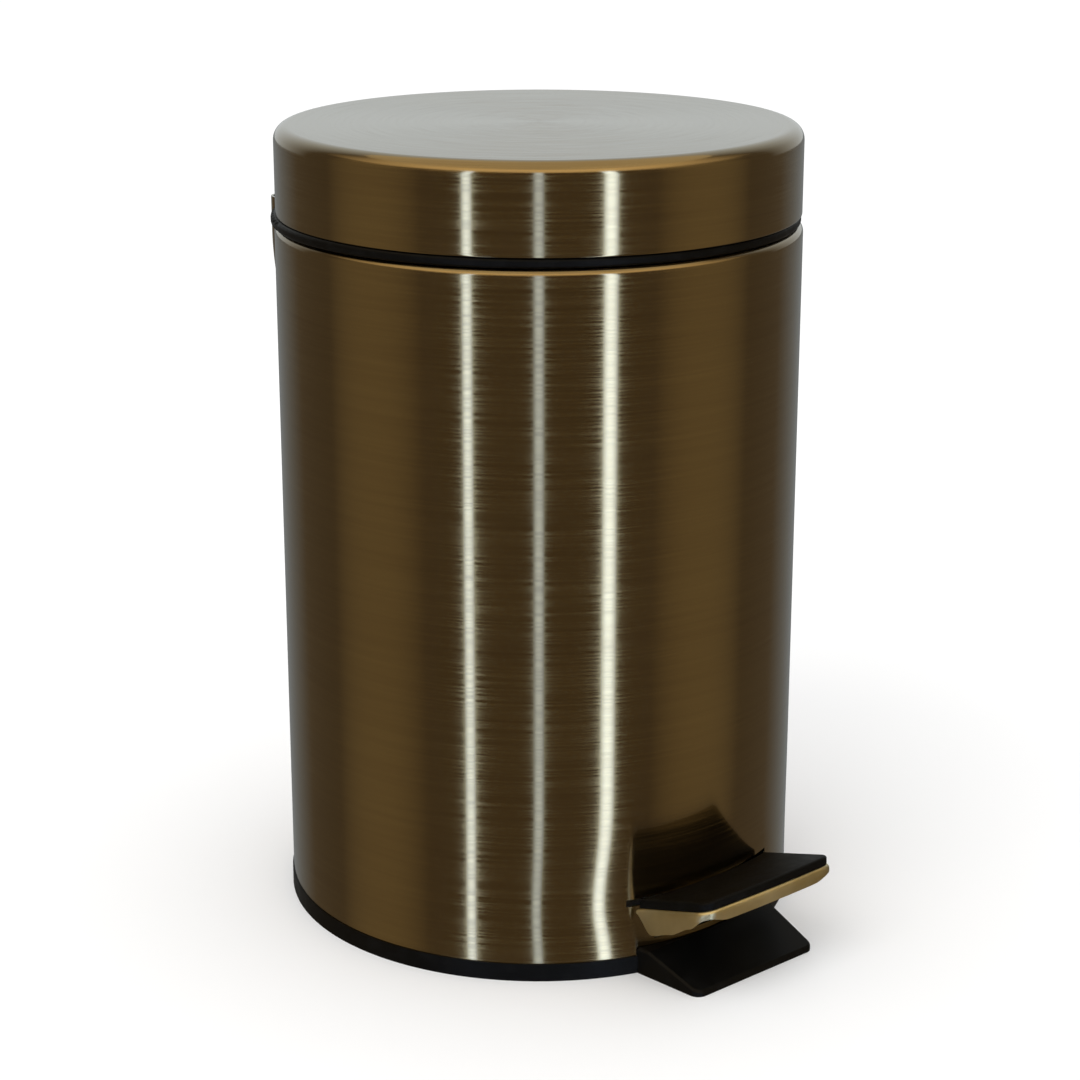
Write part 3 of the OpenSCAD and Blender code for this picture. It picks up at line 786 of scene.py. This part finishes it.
def make_cover():
    """Pressed hood over the lid's crank, with a flange on each side that is riveted to the can."""
    skin = BODY_R + COVER_SHEET
    vertices = []
    for i in range(COVER_COLUMNS + 1):
        turn = math.pi * i / COVER_COLUMNS
        x = COVER_HALF * math.copysign(abs(math.cos(turn)) ** (2 / COVER_SQUARENESS),
                                       math.cos(turn))
        swell = abs(math.sin(turn)) ** (2 / COVER_SQUARENESS)
        wall = math.sqrt(skin ** 2 - x ** 2)
        start = max(wall + COVER_SLOPE_LEVEL, COVER_LOW.z)
        for k in range(COVER_ROWS + 1):
            z = start + (COVER_HIGH.z - start) * k / COVER_ROWS
            vertices.append((x, wall + swell * max(0.0, cover_depth(z) - wall), z))
    count = COVER_ROWS + 1
    faces = [(i * count + k, (i + 1) * count + k, (i + 1) * count + k + 1, i * count + k + 1)
             for i in range(COVER_COLUMNS) for k in range(COVER_ROWS)]
    width = COVER_FLANGE + COVER_FLANGE_OVERLAP
    for side in (-1, 1):
        first = len(vertices)
        for i in range(COVER_FLANGE_STEPS + 1):
            x = COVER_HALF + width * i / COVER_FLANGE_STEPS - COVER_FLANGE_OVERLAP
            y = math.sqrt(skin ** 2 - x ** 2)
            vertices.append((side * x, y, COVER_FLANGE_LOW))
            vertices.append((side * x, y, COVER_FLANGE_HIGH))
        faces += [(first + 2 * i, first + 2 * i + 2, first + 2 * i + 3, first + 2 * i + 1)
                  for i in range(COVER_FLANGE_STEPS)]
    cover = make_object("rear_hood", vertices, faces)
    return fold_sheet(cover, COVER_SHEET)


# ---------------------------------------------------------------- build

def make_materials():
    """The procedural materials, each under a short name."""
    return {
        "brass": brushed_brass("antique_brass", (0.265, 0.195, 0.097), (0.325, 0.25, 0.128), 0.16),
        "champagne": plain_metal("pedal_brass", (0.66, 0.58, 0.36), (0.8, 0.72, 0.48), 0.4,
                                 bump=0.012 * MM),
        "plastic": moulded("black_plastic", (0.002, 0.002, 0.002), 0.4, gloss=0.12),
        "rubber": moulded("pad_rubber", (0.002, 0.002, 0.002), 0.5, 0.8 * MM, 0.03 * MM, 0.12),
        "bucket": moulded("bucket_plastic", (0.03, 0.03, 0.032), 0.45, 0.6 * MM, 0.02 * MM),
        "grip": moulded("grip_plastic", (0.02, 0.02, 0.02), 0.3),
        "zinc": plain_metal("zinc_steel", (0.42, 0.43, 0.45), (0.55, 0.56, 0.58), 0.36),
        "wire": plain_metal("zinc_wire", (0.45, 0.46, 0.47), (0.6, 0.61, 0.62), 0.28),
    }


# The procedural material of each material slot in the record
NODE_MATERIALS = {
    "brass_finish_steel": "brass",
    "pedal_brass": "champagne",
    "black_plastic": "plastic",
    "pad_rubber": "rubber",
    "bucket_plastic": "bucket",
    "grip_plastic": "grip",
    "zinc_steel": "zinc",
    "zinc_wire": "wire",
}


def dress_cad_nodes(materials):
    """Every CAD node takes the procedural material of its slot in the record."""
    slots = {s["node"]: s["material_slot"] for s in frame["record"]["subparts"]}
    for name, node in frame["nodes"].items():
        node.data.materials.clear()
        node.data.materials.append(materials[NODE_MATERIALS[slots[name]]])


def main():
    make_camera()
    make_world()
    make_lights()
    make_floor()
    bpy.context.scene.view_settings.view_transform = "Standard"
    materials = make_materials()
    dress_cad_nodes(materials)
    dress(make_shell(), materials["brass"], "can", "outer_shell")
    dress(make_lid(), materials["brass"], "lid", "lid_shell")
    dress(make_tread(), materials["champagne"], "pedal", "pedal_tread")
    dress(make_pad(), materials["rubber"], "pedal", "pedal_pad")
    dress(make_cover(), materials["brass"], "can", "rear_cover")


main()
